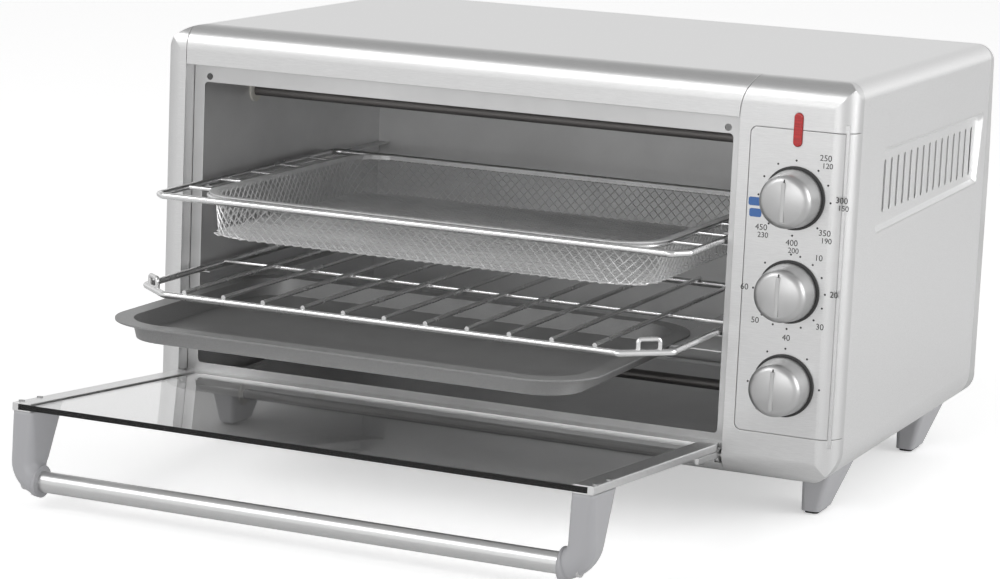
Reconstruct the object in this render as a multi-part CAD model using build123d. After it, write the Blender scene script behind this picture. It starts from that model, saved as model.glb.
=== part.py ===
from build123d import *
import math
import os

# Countertop toaster oven with a drop-down glass door, three dials and racks that
# ride out with the door. Millimetres; X to the right, Y to the back, Z up.
# All pieces are drawn with y = 0 on the front face, and moved to the origin at the end.

# Body
BODY_WIDTH = 546.0
BODY_TOP = 320.0
BODY_BOTTOM = 33.0
BACK_SPACE = 21.0
SHEET = 1.2
TOP_LEFT_RADIUS = 30.0
TOP_RIGHT_RADIUS = 12.0
BOTTOM_RADIUS = 25.0
WRAP_RETURN = 13.0
SEAM = 0.4

# Front moulding
MOULDING_DEPTH = 19.6
MOULDING_WALL = 3.0
FRONT_EDGE_RADIUS = 18.0
SIDE_EDGE_RADIUS = 15.0
LEFT_CAP_WIDTH = 20.0
PANEL_WIDTH = 84.0
TRIM_TOP_HEIGHT = 29.5
TRIM_BOTTOM_HEIGHT = 21.4
SEAM_SWEEP = 9.5

# Cavity
CAVITY_CLEARANCE = 6.0
CAVITY_SHEET = 1.0
CAVITY_BACK = 325.0
CAVITY_ROOF = 284.0
JAMB_FRONT = 14.0
JAMB_SHEET = 1.0
JAMB_WIDTH = 8.8
JAMB_TOP_STRIP = 14.0
SILL_HEIGHT = 60.0
LATCH_HOLE_RADIUS = 2.5

# Door
HINGE_Y = 4.0
HINGE_Z = 47.0
DOOR_REST_ANGLE = 85.7
DOOR_LENGTH = 243.0
DOOR_NEAR_END = 9.0
DOOR_SIDE_GAP = 1.5
DOOR_THICKNESS = 6.0
DOOR_OUTER_OFFSET = 3.0
RAIL_WIDTH = 15.0
RAIL_WEB = 4.5
GLASS_THICKNESS = 4.0
GLASS_CLEARANCE = 0.1
PIN_RADIUS = 2.0
PIN_CLEARANCE = 0.05
PIN_DEPTH = 8.0
ARM_RADIUS = 5.0
ARM_THICKNESS = 2.5
ARM_GAP = 1.2
ARM_REACH = 46.0

# Handle
HANDLE_RADIUS = 7.5
HANDLE_STANDOFF = 49.0
HANDLE_SETBACK = 10.0
BRACKET_WIDTH = 16.0
BRACKET_FOOT = 42.0
COLLAR_RADIUS = 10.5
COLLAR_LENGTH = 22.0
BAR_SOCKET_DEPTH = 14.0

# Fasteners
SCREW_RADIUS = 1.5
SCREW_CLEARANCE = 0.05
SCREW_LENGTH = 13.0
SCREW_TIP_GAP = 2.05
SCREW_FROM_END = 8.0
SCREW_SPACING = 24.0

# Shelves, from the top down
WIRE_RADIUS = 2.5
ROD_RADIUS = 1.7
BRIDGE_RADIUS = 1.4
SHELF_SIDE_CLEARANCE = 4.0
SHELF_GAP = 0.3
RACK_LEVEL = 134.0
RACK_FRONT = -101.0
RACK_DEPTH = 290.0
RACK_ROD_COUNT = 11
RACK_ROD_SPACING = 32.2
RACK_CHAMFER_X = 30.0
RACK_CHAMFER_Y = 26.0
STOP_HEIGHT = 9.0
BASKET_LEVEL = 200.0
BASKET_FRONT = -64.0
BASKET_FRAME_DEPTH = 292.0
BASKET_BOTTOM = 171.0
BASKET_WALL = 1.0
BASKET_SIDE_INSET = 33.0
BASKET_FRONT_INSET = 12.0
BASKET_CORNER = 32.0
BRIDGE_SPACING = 50.0
FLANGE_WIDTH = 11.0
FLANGE_FRONT = 46.0
PAN_LEFT_GAP = 7.0
PAN_RIGHT_GAP = 37.0
PAN_FRONT = -160.0
PAN_DEPTH = 250.0
PAN_RIM_TOP = 121.0
PAN_HEIGHT = 14.0
PAN_RIM_WIDTH = 12.0
PAN_CORNER = 46.0
PAN_SHEET = 1.2
RUNNER_WIDTH = 10.0
RUNNER_LEG = 8.0

# Crumb tray
TRAY_FLOOR = 41.3
TRAY_SHEET = 0.8
TRAY_RIM = 3.6
TRAY_BACK = 320.0
TRAY_LIP_BOTTOM = 37.5
TRAY_LIP_TOP = 46.5
TRAY_CLEARANCE = 0.4
TRAY_SIDE_GAP = 8.0
LIP_SIDE_GAP = 9.0

# Controls
DIAL_FROM_RIGHT = 40.5
DIAL_HEIGHTS = (237.6, 171.2, 104.0)
KNOB_BASE_RADIUS = 20.5
KNOB_FACE_RADIUS = 18.5
KNOB_LENGTH = 23.0
KNOB_LIFT = 0.6
DIAL_RING_RADIUS = 22.5
DIAL_RING_HEIGHT = 1.2
SHAFT_RADIUS = 3.0
SHAFT_CLEARANCE = 0.06
BUSHING_RADIUS = 5.0
THERMOSTAT_CASE = (32.0, 34.0, 24.0)
SWITCH_CASE = (40.0, 40.0, 30.0)
TIMER_CASE = (46.0, 46.0, 34.0)
FASCIA_LEFT = 9.0
FASCIA_BOTTOM = 68.5
FASCIA_TOP = 285.3
FASCIA_THICKNESS = 2.0
FASCIA_CORNER = 5.0
LAMP_WIDTH = 6.5
LAMP_HEIGHT = 23.8
LAMP_CENTRE = 285.6
LAMP_PROUD = 1.5

# Side vent
VENT_FRONT = 62.0
VENT_FROM_BACK = 11.0
VENT_BOTTOM = 208.0
VENT_TOP = 268.0
VENT_SLANT = 10.0
VENT_RECESS = 2.4
SLOT_COUNT = 16
SLOT_PITCH = 16.0
SLOT_WIDTH = 5.0
SLOT_HEIGHT = 38.0
SLOT_FIRST = 71.8

# Heating, fan and feet
HEATER_RADIUS = 4.0
HEATER_ROWS = (100.0, 235.0)
UPPER_HEATER = 262.0
LOWER_HEATER = 76.0
INSULATOR_RADIUS = 9.0
INSULATOR_FLANGE = 12.0
FAN_Y = 170.0
FAN_Z = 225.0
FAN_RADIUS = 44.0
FAN_WIDTH = 14.0
FAN_BLADES = 8
SHROUD_RADIUS = 50.0
SHROUD_DEPTH = 26.0
MOTOR_RADIUS = 27.0
MOTOR_LENGTH = 40.0
REAR_BULGE = 27.0
CORD_FROM_SIDE = 48.0
CORD_Z = 84.0
REAR_SLOT_COUNT = 13
FOOT_INSET = 18.0
FOOT_LENGTH = 61.0
FOOT_TOP_WIDTH = 22.0
FOOT_TIP_WIDTH = 14.0
FOOT_TIP_LENGTH = 32.0
FRONT_FOOT_Y = 52.0
REAR_FOOT_Y = 285.0
PAD_HEIGHT = 4.0

# Places that follow from the sizes above
HALF = BODY_WIDTH / 2
WRAP_BACK = CAVITY_BACK + BACK_SPACE
VENT_BACK = WRAP_BACK - VENT_FROM_BACK
OPENING_LEFT = -HALF + LEFT_CAP_WIDTH
OPENING_RIGHT = HALF - PANEL_WIDTH
OPENING_TOP = BODY_TOP - TRIM_TOP_HEIGHT
OPENING_BOTTOM = BODY_BOTTOM + TRIM_BOTTOM_HEIGHT
OPENING_CENTRE = (OPENING_LEFT + OPENING_RIGHT) / 2
CAVITY_LEFT = OPENING_LEFT + CAVITY_CLEARANCE
CAVITY_RIGHT = OPENING_RIGHT - CAVITY_CLEARANCE
WRAP_FRONT = MOULDING_DEPTH + SEAM
PLATE_TOP = BODY_BOTTOM + 2 * SHEET + 0.1
WALL_FOOT = BODY_BOTTOM + MOULDING_WALL + 0.1
DOOR_LEFT = OPENING_LEFT + DOOR_SIDE_GAP
DOOR_RIGHT = OPENING_RIGHT - DOOR_SIDE_GAP
DOOR_OUTER = HINGE_Y + DOOR_OUTER_OFFSET
DOOR_INNER = DOOR_OUTER + DOOR_THICKNESS
DOOR_LOW = HINGE_Z + DOOR_NEAR_END
DOOR_HIGH = HINGE_Z + DOOR_LENGTH
SHELF_LEFT = CAVITY_LEFT + SHELF_SIDE_CLEARANCE
SHELF_RIGHT = CAVITY_RIGHT - SHELF_SIDE_CLEARANCE
PAN_LEFT = SHELF_LEFT + PAN_LEFT_GAP
PAN_RIGHT = SHELF_RIGHT - PAN_RIGHT_GAP
HANDLE_Y = DOOR_OUTER - HANDLE_STANDOFF
HANDLE_Z = DOOR_HIGH - HANDLE_SETBACK
DIAL_X = HALF - DIAL_FROM_RIGHT
CORD_X = HALF - CORD_FROM_SIDE
CARRIER_BACK = MOULDING_DEPTH + 0.1 + SHEET


def block(x0, x1, y0, y1, z0, z1):
    """A box between two opposite corners."""
    middle = ((x0 + x1) / 2, (y0 + y1) / 2, (z0 + z1) / 2)
    return Pos(*middle) * Box(x1 - x0, y1 - y0, z1 - z0)


def rod(start, end, radius):
    """A round bar between two points."""
    line = Line(start, end)
    section = Plane(origin=line @ 0, z_dir=line % 0) * Circle(radius)
    return extrude(section, line.length)


def along_x(sketch, x0, x1):
    """A sketch drawn as (y, z) carried from x0 to x1."""
    plane = Plane(origin=(x0, 0, 0), x_dir=(0, 1, 0), z_dir=(1, 0, 0))
    return extrude(plane * sketch, x1 - x0)


def along_y(sketch, y0, y1):
    """A sketch drawn as (x, z) carried from y0 to y1."""
    plane = Plane(origin=(0, y1, 0), x_dir=(1, 0, 0), z_dir=(0, -1, 0))
    return extrude(plane * sketch, y1 - y0)


def along_z(sketch, z0, z1, taper=0.0):
    """A sketch drawn as (x, y) carried from z0 to z1."""
    return extrude(Pos(0, 0, z0) * sketch, z1 - z0, taper=taper)


def outline(points, radii):
    """A closed face through the points, with its own round at each."""
    return make_face(FilletPolyline(*points, radius=radii, close=True))


def rounded(x0, x1, y0, y1, radius):
    """A rectangle with four equal rounds."""
    return Pos((x0 + x1) / 2, (y0 + y1) / 2) * RectangleRounded(x1 - x0, y1 - y0, radius)


def wire(points, radii, wire_radius, close=False):
    """A bent wire that follows the points."""
    path = FilletPolyline(*points, radius=radii, close=close)
    section = Plane(origin=path @ 0, z_dir=path % 0) * Circle(wire_radius)
    return sweep(section, path=path)


def group(solids):
    """Separate solids kept together in one node."""
    return Compound(children=list(solids))


def body_face(inset=0.0):
    """The body seen from the front, drawn smaller by the inset."""
    left, right = -HALF + inset, HALF - inset
    low, high = BODY_BOTTOM + inset, BODY_TOP - inset
    corners = [(left, low), (right, low), (right, high), (left, high)]
    rounds = (BOTTOM_RADIUS, BOTTOM_RADIUS, TOP_RIGHT_RADIUS, TOP_LEFT_RADIUS)
    return outline(corners, [radius - inset for radius in rounds])


def moulding_block(inset=0.0):
    """The whole front moulding as a solid with rounded front edges."""
    back = MOULDING_DEPTH
    low, high = BODY_BOTTOM + inset, BODY_TOP - inset
    side = HALF - inset
    edge = FRONT_EDGE_RADIUS - inset
    section = outline(
        [(inset, low), (back + 1, low), (back + 1, high), (inset, high)],
        [edge, 0, 0, edge],
    )
    corner = SIDE_EDGE_RADIUS - inset
    plan = outline(
        [(-side, inset), (side, inset), (side, back + 1), (-side, back + 1)],
        [corner, corner, 0, 0],
    )
    solid = along_y(body_face(inset), inset, back)
    solid &= along_x(section, -HALF, HALF)
    return solid & along_z(plan, 0, BODY_TOP)


MOULDING = moulding_block()
MOULDING_SHELL = MOULDING - moulding_block(MOULDING_WALL) - block(
    -HALF + MOULDING_WALL, HALF - MOULDING_WALL, MOULDING_DEPTH - 0.01, MOULDING_DEPTH + 1,
    BODY_BOTTOM + MOULDING_WALL, BODY_TOP - MOULDING_WALL,
)


def moulding_piece(region, cheek):
    """The part of the hollow moulding inside a region, closed by a cheek wall."""
    return (MOULDING_SHELL & region) + (MOULDING & cheek)


def hinge_hole(x, radius, length):
    """A cutter on the hinge axis, from x inwards."""
    return rod((x, HINGE_Y, HINGE_Z), (x + length, HINGE_Y, HINGE_Z), radius)


def hinge_boss(x, length):
    """A boss behind a cheek that holds a hinge pin."""
    boss = rod((x, HINGE_Y, HINGE_Z), (x + length, HINGE_Y, HINGE_Z), PIN_RADIUS + 3)
    return boss & MOULDING


def left_end_cap():
    """The moulding left of the door, with the left hinge pin's seat."""
    edge = OPENING_LEFT - SEAM / 2
    region = block(-HALF - 1, edge, -1, MOULDING_DEPTH + 1, 0, BODY_TOP + 1)
    cheek = block(edge - MOULDING_WALL, edge, -1, MOULDING_DEPTH + 1, 0, BODY_TOP + 1)
    cap = moulding_piece(region, cheek) + hinge_boss(edge - PIN_DEPTH - 2, PIN_DEPTH + 1)
    return cap - hinge_hole(edge - PIN_DEPTH, PIN_RADIUS + PIN_CLEARANCE, PIN_DEPTH + 1)


def seam_face(shift):
    """What lies right of the seam that sweeps over beside the controls."""
    x = OPENING_RIGHT + shift
    far = HALF + 10
    sweep_mid = (x + SEAM_SWEEP * 0.25, OPENING_TOP + TRIM_TOP_HEIGHT * 0.55)
    sweep_end = (x + SEAM_SWEEP, BODY_TOP + 0.5)
    edges = Polyline((x, OPENING_TOP), (x, 0), (far, 0), (far, BODY_TOP + 5), sweep_end)
    edges += ThreePointArc(sweep_end, sweep_mid, (x, OPENING_TOP))
    return make_face(edges)


def control_region(shift):
    return along_y(seam_face(shift), -1, MOULDING_DEPTH + 1)


def fascia_solid(clearance=0.0, depth=FASCIA_THICKNESS):
    """The inlaid plate of the controls, which wraps round the right edge."""
    left = OPENING_RIGHT + FASCIA_LEFT - clearance
    low, high = FASCIA_BOTTOM - clearance, FASCIA_TOP + clearance
    corners = [(left, low), (HALF + 5, low), (HALF + 5, high), (left, high)]
    face = outline(corners, [FASCIA_CORNER, 0, 0, FASCIA_CORNER])
    layer = MOULDING - moulding_block(depth + clearance)
    band = along_y(face, -1, MOULDING_DEPTH - MOULDING_WALL)
    return layer & band


def dial_holes(radius, y0, y1):
    return [rod((DIAL_X, y0, z), (DIAL_X, y1, z), radius) for z in DIAL_HEIGHTS]


def lamp_pill(clearance, y0, y1):
    pill = SlotOverall(LAMP_HEIGHT + 2 * clearance, LAMP_WIDTH + 2 * clearance, rotation=90)
    return along_y(Pos(DIAL_X, LAMP_CENTRE) * pill, y0, y1)


def control_housing():
    """The moulding that carries the dials, with the right hinge pin's seat."""
    edge = OPENING_RIGHT + SEAM / 2
    region = control_region(SEAM / 2)
    cheek = block(edge, edge + MOULDING_WALL, -1, MOULDING_DEPTH + 1, 0, OPENING_TOP + 10)
    housing = moulding_piece(region, cheek & region) + hinge_boss(edge + 1, PIN_DEPTH + 1)
    backing = block(
        edge + 2, HALF - MOULDING_WALL - 1, MOULDING_WALL - 0.5, MOULDING_WALL + 2,
        FASCIA_BOTTOM - 6, FASCIA_TOP + 6,
    )
    housing += backing
    housing -= fascia_solid(clearance=TRAY_CLEARANCE)
    for hole in dial_holes(BUSHING_RADIUS + 0.5, -1, MOULDING_DEPTH):
        housing -= hole
    housing -= lamp_pill(0.1, -1, MOULDING_DEPTH)
    return housing - hinge_hole(edge - 1, PIN_RADIUS + PIN_CLEARANCE, PIN_DEPTH + 1)


def control_fascia():
    fascia = fascia_solid()
    for hole in dial_holes(BUSHING_RADIUS + 0.5, -1, MOULDING_DEPTH):
        fascia -= hole
    return fascia - lamp_pill(0.1, -1, MOULDING_DEPTH)


def indicator_lamp():
    lens = lamp_pill(0, -LAMP_PROUD, MOULDING_WALL + 6)
    front = lens.faces().sort_by(Axis.Y)[0]
    return fillet(front.edges(), LAMP_PROUD * 0.8)


def top_trim():
    """The hollow moulding above the door."""
    left = OPENING_LEFT + SEAM / 2
    region = block(left, HALF, -1, MOULDING_DEPTH + 1, OPENING_TOP, BODY_TOP + 1)
    region -= control_region(-SEAM / 2)
    cheek = region & block(
        left, HALF, -1, MOULDING_DEPTH + 1, OPENING_TOP, OPENING_TOP + MOULDING_WALL)
    return moulding_piece(region, cheek)


def tray_lip(clearance=0.0):
    """The crumb tray's front, a band of the moulding's own rounded face."""
    band = block(
        CAVITY_LEFT + LIP_SIDE_GAP - clearance, CAVITY_RIGHT - LIP_SIDE_GAP + clearance,
        -1, MOULDING_DEPTH,
        TRAY_LIP_BOTTOM - clearance, TRAY_LIP_TOP + clearance,
    )
    return (MOULDING - moulding_block(MOULDING_WALL - 0.5 + clearance)) & band


def bottom_trim():
    """The moulding under the door, open for the crumb tray and the hinge arms."""
    left, right = OPENING_LEFT + SEAM / 2, OPENING_RIGHT - SEAM / 2
    region = block(left, right, -1, MOULDING_DEPTH + 1, 0, OPENING_BOTTOM)
    trim = MOULDING_SHELL & region
    trim += MOULDING & block(
        left, right, -1, JAMB_FRONT - 0.1, TRAY_LIP_TOP + TRAY_CLEARANCE, OPENING_BOTTOM)
    trim += MOULDING & block(left, left + 9, -1, JAMB_FRONT - 0.1, 0, OPENING_BOTTOM)
    trim += MOULDING & block(right - 9, right, -1, JAMB_FRONT - 0.1, 0, OPENING_BOTTOM)
    trim -= tray_lip(clearance=TRAY_CLEARANCE)
    slot_low, slot_high = TRAY_FLOOR - TRAY_CLEARANCE, TRAY_LIP_TOP + TRAY_CLEARANCE
    tray_left = CAVITY_LEFT + TRAY_SIDE_GAP - TRAY_CLEARANCE
    tray_right = CAVITY_RIGHT - TRAY_SIDE_GAP + TRAY_CLEARANCE
    trim -= block(tray_left, tray_right, -1, MOULDING_DEPTH + 1, slot_low, slot_high)
    notch = DOOR_SIDE_GAP + ARM_THICKNESS + ARM_GAP
    low = HINGE_Z - ARM_RADIUS - 0.6
    back = HINGE_Y + ARM_RADIUS + 1.2
    trim -= block(left - 1, left + notch, -1, back, low, OPENING_BOTTOM + 1)
    return trim - block(right - notch, right + 1, -1, back, low, OPENING_BOTTOM + 1)


def outer_wrap():
    """Top and sides in one bent sheet, with its lower edges rolled under."""
    wrap = along_y(body_face() - body_face(SHEET), WRAP_FRONT, WRAP_BACK)
    reach = HALF - BOTTOM_RADIUS - WRAP_RETURN
    wrap -= block(-reach, reach, 0, WRAP_BACK + 1, 0, BODY_BOTTOM + 3 * SHEET)
    return wrap - vent_window(SEAM / 2)


def vent_face(grow):
    """The side vent's outline, drawn as (y, z), with slightly slanted ends."""
    corners = [
        (VENT_FRONT - grow, VENT_BOTTOM - grow),
        (VENT_BACK - VENT_SLANT + grow, VENT_BOTTOM - grow + 5),
        (VENT_BACK + grow, VENT_TOP + grow),
        (VENT_FRONT + VENT_SLANT - grow, VENT_TOP + grow),
    ]
    return outline(corners, [4, 4, 4, 4])


def vent_window(grow):
    return along_x(vent_face(grow), HALF - 3 * SHEET, HALF + 1)


def side_vent_grille():
    """The pressed panel of upright slots in the right side."""
    panel = along_x(vent_face(0), HALF - SHEET - VENT_RECESS, HALF - 0.1)
    dish_floor = HALF - SHEET * 0.4 - VENT_RECESS
    bevel = loft([
        Plane(origin=(HALF, 0, 0), x_dir=(0, 1, 0), z_dir=(1, 0, 0)) * vent_face(-0.8),
        Plane(origin=(dish_floor, 0, 0), x_dir=(0, 1, 0), z_dir=(1, 0, 0)) * vent_face(-3.6),
    ])
    panel -= bevel
    for index in range(SLOT_COUNT):
        y = SLOT_FIRST + index * SLOT_PITCH
        middle = (VENT_BOTTOM + VENT_TOP) / 2 + 1.5
        slot = Pos(y, middle) * SlotOverall(SLOT_HEIGHT, SLOT_WIDTH, rotation=90)
        panel -= along_x(slot, HALF - 10, HALF + 1)
    return panel


def bottom_plate():
    half = HALF - BOTTOM_RADIUS - 4
    face = rounded(-half, half, WRAP_FRONT, WRAP_BACK - 1, 6)
    return along_z(face, BODY_BOTTOM + SHEET + 0.05, BODY_BOTTOM + 2 * SHEET + 0.05)


def rear_block(inset=0.0):
    """The bulged back, rounded on all its edges."""
    front = WRAP_BACK + 0.1
    back = WRAP_BACK + REAR_BULGE - inset
    low, high = BODY_BOTTOM + inset, BODY_TOP - inset
    side = outline(
        [(front, low), (back, low), (back, low + 35),
         (front + REAR_BULGE * 0.3 - inset, high - 12), (front + 1, high), (front, high)],
        [0, 12 - inset, 20, 8, 0, 0],
    )
    half = HALF - inset
    plan = outline(
        [(-half, front), (half, front), (half, back), (-half, back)],
        [0, 0, 14 - inset, 14 - inset],
    )
    solid = along_y(body_face(inset), front, back)
    solid &= along_x(side, -HALF, HALF)
    return solid & along_z(plan, 0, BODY_TOP)


def rear_cover():
    """The moulded back cover with two rows of exhaust slots and the cord's hole."""
    wall = 2.0
    cover = rear_block() - rear_block(wall)
    for row in (190.0, 235.0):
        for index in range(REAR_SLOT_COUNT):
            x = (index - (REAR_SLOT_COUNT - 1) / 2) * 24.0
            slot = Pos(x, row) * SlotOverall(30.0, 5.0, rotation=90)
            cover -= along_y(slot, WRAP_BACK, WRAP_BACK + REAR_BULGE + 5)
    return cover - rod((CORD_X, WRAP_BACK, CORD_Z), (CORD_X, WRAP_BACK + 40, CORD_Z), 8.1)


def cord_gland():
    """The strain relief in the back cover, with the cord's bore."""
    back = WRAP_BACK + REAR_BULGE
    body = rod((CORD_X, back - 9, CORD_Z), (CORD_X, back + 1.5, CORD_Z), 8.0)
    body += rod((CORD_X, back + 0.1, CORD_Z), (CORD_X, back + 2.5, CORD_Z), 11.0)
    return body - rod((CORD_X, back - 10, CORD_Z), (CORD_X, back + 3, CORD_Z), 3.6)


# Door, drawn closed and then dropped to its open stop


def dropped(solid):
    """The door's pieces are shown on the open stop."""
    hinge = Axis((0, HINGE_Y, HINGE_Z), (1, 0, 0))
    return solid.rotate(hinge, DOOR_REST_ANGLE)


def mirrored(solid):
    """The same piece on the door's other side."""
    return mirror(solid, about=Plane(origin=(OPENING_CENTRE, 0, 0), z_dir=(1, 0, 0)))


def door_glass():
    edge = DOOR_LEFT + RAIL_WEB + GLASS_CLEARANCE
    far = DOOR_RIGHT - RAIL_WEB - GLASS_CLEARANCE
    middle = (DOOR_OUTER + DOOR_INNER) / 2
    face = rounded(edge, far, DOOR_LOW, DOOR_HIGH, 2.0)
    return along_y(face, middle - GLASS_THICKNESS / 2, middle + GLASS_THICKNESS / 2)


def screw_places():
    """Heights of the two screws that hold a handle bracket to its rail."""
    first = DOOR_HIGH - SCREW_FROM_END
    return (first, first - SCREW_SPACING)


def door_rail_left():
    """A channel along the glass edge, drilled for the bracket's screws."""
    outer = rounded(DOOR_LEFT, DOOR_LEFT + RAIL_WIDTH, DOOR_OUTER, DOOR_INNER, 1.0)
    middle = (DOOR_OUTER + DOOR_INNER) / 2
    half = GLASS_THICKNESS / 2 + GLASS_CLEARANCE
    groove = block(
        DOOR_LEFT + RAIL_WEB, DOOR_LEFT + RAIL_WIDTH + 1, middle - half, middle + half,
        DOOR_LOW - 1, DOOR_HIGH + 1,
    )
    rail = along_z(outer, DOOR_LOW, DOOR_HIGH) - groove
    x = DOOR_LEFT + RAIL_WEB / 2
    for z in screw_places():
        rail -= rod((x, DOOR_OUTER - 1, z), (x, DOOR_INNER + 1, z), SCREW_RADIUS + SCREW_CLEARANCE)
    return rail


def handle_bracket_left():
    """A curved arm from the rail to the collar on the handle bar."""
    x0, x1 = DOOR_LEFT, DOOR_LEFT + BRACKET_WIDTH
    foot = DOOR_OUTER - 0.05
    profile = outline(
        [(foot, DOOR_HIGH - BRACKET_FOOT), (foot, DOOR_HIGH),
         (HANDLE_Y - COLLAR_RADIUS * 0.2, HANDLE_Z + COLLAR_RADIUS * 0.98),
         (HANDLE_Y - COLLAR_RADIUS * 0.2, HANDLE_Z - COLLAR_RADIUS * 0.98),
         (foot - 16, DOOR_HIGH - BRACKET_FOOT + 16)],
        [1.5, 3, 4, 4, 14],
    )
    arm = along_x(profile, x0, x1)
    arm = fillet(arm.edges().filter_by(Axis.X, reverse=True).group_by(Axis.X)[0], 3.0)
    collar = rod((x0, HANDLE_Y, HANDLE_Z), (x0 + COLLAR_LENGTH, HANDLE_Y, HANDLE_Z), COLLAR_RADIUS)
    collar = fillet(collar.edges().sort_by(Axis.X)[0], 3.0)
    socket_start = x0 + COLLAR_LENGTH - BAR_SOCKET_DEPTH
    socket = rod(
        (socket_start, HANDLE_Y, HANDLE_Z), (x0 + COLLAR_LENGTH + 1, HANDLE_Y, HANDLE_Z),
        HANDLE_RADIUS + SCREW_CLEARANCE,
    )
    bracket = arm + collar - socket
    bore_end = DOOR_INNER - SCREW_LENGTH - SCREW_TIP_GAP
    x = DOOR_LEFT + RAIL_WEB / 2
    for z in screw_places():
        bracket -= rod((x, bore_end, z), (x, foot + 1, z), SCREW_RADIUS + SCREW_CLEARANCE)
    return bracket


def handle_bar():
    start = DOOR_LEFT + COLLAR_LENGTH - BAR_SOCKET_DEPTH + 0.1
    end = DOOR_RIGHT - COLLAR_LENGTH + BAR_SOCKET_DEPTH - 0.1
    return rod((start, HANDLE_Y, HANDLE_Z), (end, HANDLE_Y, HANDLE_Z), HANDLE_RADIUS)


def bracket_screw(x, z):
    """A screw through the rail into the bracket, with a domed head."""
    face = DOOR_INNER
    shank = rod((x, face - SCREW_LENGTH, z), (x, face + 0.1, z), SCREW_RADIUS)
    head = rod((x, face, z), (x, face + 0.7, z), RAIL_WEB / 2 - 0.1)
    return shank + head


def door_screws():
    screws = [bracket_screw(DOOR_LEFT + RAIL_WEB / 2, z) for z in screw_places()]
    return group(screws + [mirrored(screw) for screw in screws])


def hinge_arm_left():
    """A flat arm from the hinge pin to the rail's outer face."""
    x0, x1 = DOOR_LEFT, DOOR_LEFT + ARM_THICKNESS
    eye = rod((x0, HINGE_Y, HINGE_Z), (x1, HINGE_Y, HINGE_Z), ARM_RADIUS)
    foot = DOOR_OUTER - 0.05
    web = block(x0, x1, HINGE_Y - 1.5, foot, HINGE_Z, HINGE_Z + ARM_REACH)
    strap = block(x0, x0 + 11, foot - 1.6, foot, DOOR_LOW, HINGE_Z + ARM_REACH)
    arm = eye + web + strap
    bore = rod((x0 - 1, HINGE_Y, HINGE_Z), (x1 + 1, HINGE_Y, HINGE_Z), PIN_RADIUS + PIN_CLEARANCE)
    return arm - bore


def hinge_pins():
    """One pin at each end of the hinge axis, seated in the mouldings."""
    left_start = OPENING_LEFT - SEAM / 2 - PIN_DEPTH + 0.1
    left = rod((left_start, HINGE_Y, HINGE_Z),
               (DOOR_LEFT + ARM_THICKNESS + 0.6, HINGE_Y, HINGE_Z), PIN_RADIUS)
    return group([left, mirrored(left)])


# Cavity


def cavity_side(x0, x1):
    """One side wall, holed for the heater ends."""
    wall = block(x0, x1, JAMB_FRONT + JAMB_SHEET + 0.05, CAVITY_BACK, WALL_FOOT, CAVITY_ROOF)
    for y in HEATER_ROWS:
        for z in (UPPER_HEATER, LOWER_HEATER):
            wall -= rod((x0 - 1, y, z), (x1 + 1, y, z), INSULATOR_RADIUS + 0.1)
    return wall


def cavity_left_wall():
    return cavity_side(CAVITY_LEFT - CAVITY_SHEET, CAVITY_LEFT)


def cavity_right_wall():
    """The wall beside the controls, pierced in rings for the fan's air."""
    wall = cavity_side(CAVITY_RIGHT, CAVITY_RIGHT + CAVITY_SHEET)
    for ring_radius, count in ((14.0, 6), (28.0, 12)):
        for index in range(count):
            angle = 2 * math.pi * index / count
            y = FAN_Y + ring_radius * math.cos(angle)
            z = FAN_Z + ring_radius * math.sin(angle)
            wall -= rod((CAVITY_RIGHT - 1, y, z), (CAVITY_RIGHT + 3, y, z), 4.5)
    return wall


def cavity_roof():
    low = CAVITY_ROOF + 0.05
    front = JAMB_FRONT + JAMB_SHEET + 0.05
    return block(CAVITY_LEFT - CAVITY_SHEET, CAVITY_RIGHT + CAVITY_SHEET, front,
                 CAVITY_BACK + CAVITY_SHEET, low, low + CAVITY_SHEET)


def cavity_back():
    left, right = CAVITY_LEFT - CAVITY_SHEET, CAVITY_RIGHT + CAVITY_SHEET
    panel = block(left, right, CAVITY_BACK + 0.05, CAVITY_BACK + 0.05 + CAVITY_SHEET,
                  WALL_FOOT, CAVITY_ROOF)
    return panel


def door_jamb():
    """The flat frame that the closed door meets, with two latch holes."""
    left, right = OPENING_LEFT + 0.1, OPENING_RIGHT - 0.1
    low = TRAY_LIP_TOP + TRAY_CLEARANCE + 0.2
    face = Pos((left + right) / 2, (low + OPENING_TOP) / 2) * Rectangle(
        right - left, OPENING_TOP - 0.1 - low)
    hole = rounded(OPENING_LEFT + JAMB_WIDTH, OPENING_RIGHT - JAMB_WIDTH,
                   SILL_HEIGHT, OPENING_TOP - JAMB_TOP_STRIP, 3.0)
    face -= hole
    latch_z = OPENING_TOP - JAMB_TOP_STRIP * 0.7
    for x in (OPENING_LEFT + 13, OPENING_RIGHT - 13):
        face -= Pos(x, latch_z) * Circle(LATCH_HOLE_RADIUS)
    return along_y(face, JAMB_FRONT, JAMB_FRONT + JAMB_SHEET)


def angle_runner(wall_x, reach, top):
    """An angle strip on a side wall; reach is its width towards the cavity."""
    direction = 1 if reach > 0 else -1
    thick = CAVITY_SHEET
    leg_edge = wall_x + direction * thick
    far_edge = wall_x + reach
    corners = [
        (wall_x, top), (far_edge, top), (far_edge, top - thick),
        (leg_edge, top - thick), (leg_edge, top - RUNNER_LEG), (wall_x, top - RUNNER_LEG),
    ]
    profile = make_face(Polyline(*corners, close=True))
    return along_y(profile, JAMB_FRONT + JAMB_SHEET + 1, CAVITY_BACK - 1)


RUNNER_TOPS = (
    TRAY_FLOOR - 0.2,
    RACK_LEVEL - WIRE_RADIUS - SHELF_GAP,
    BASKET_LEVEL - WIRE_RADIUS - SHELF_GAP,
)
PAN_RUNNER_TOP = PAN_RIM_TOP - PAN_SHEET - SHELF_GAP


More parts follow.
